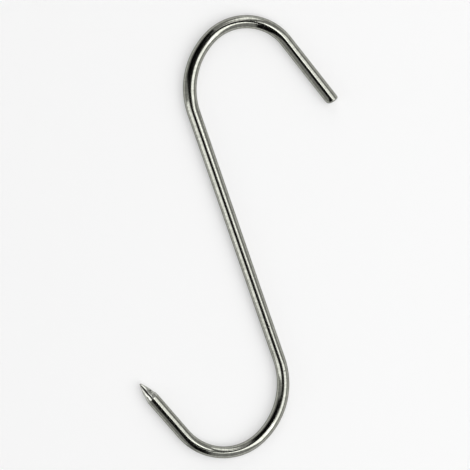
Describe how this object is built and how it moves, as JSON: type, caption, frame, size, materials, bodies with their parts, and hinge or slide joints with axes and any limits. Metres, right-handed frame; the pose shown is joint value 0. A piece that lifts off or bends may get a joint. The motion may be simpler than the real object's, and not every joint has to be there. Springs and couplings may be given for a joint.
{
  "type": "s hook",
  "caption": "Butcher's S hook bent from one polished round stainless rod, with a blunt rail end and a ground point at the load end.",
  "frame": {"origin": "where the axis of the rail that the hook hangs from crosses the plane that the hook lies on, at the centre of the rail bend's crown", "axes": "+Y along the line of pull, from the load bend up to the rail bend; +Z square to the plane of the S, away from the surface that the hook lies on; +X towards the blunt arm"},
  "size_m": [0.0708, 0.1776, 0.005],
  "materials": {
    "stainless": "polished"
  },
  "bodies": {
    "root": {"s_hook": "stainless"}
  },
  "joints": []
}
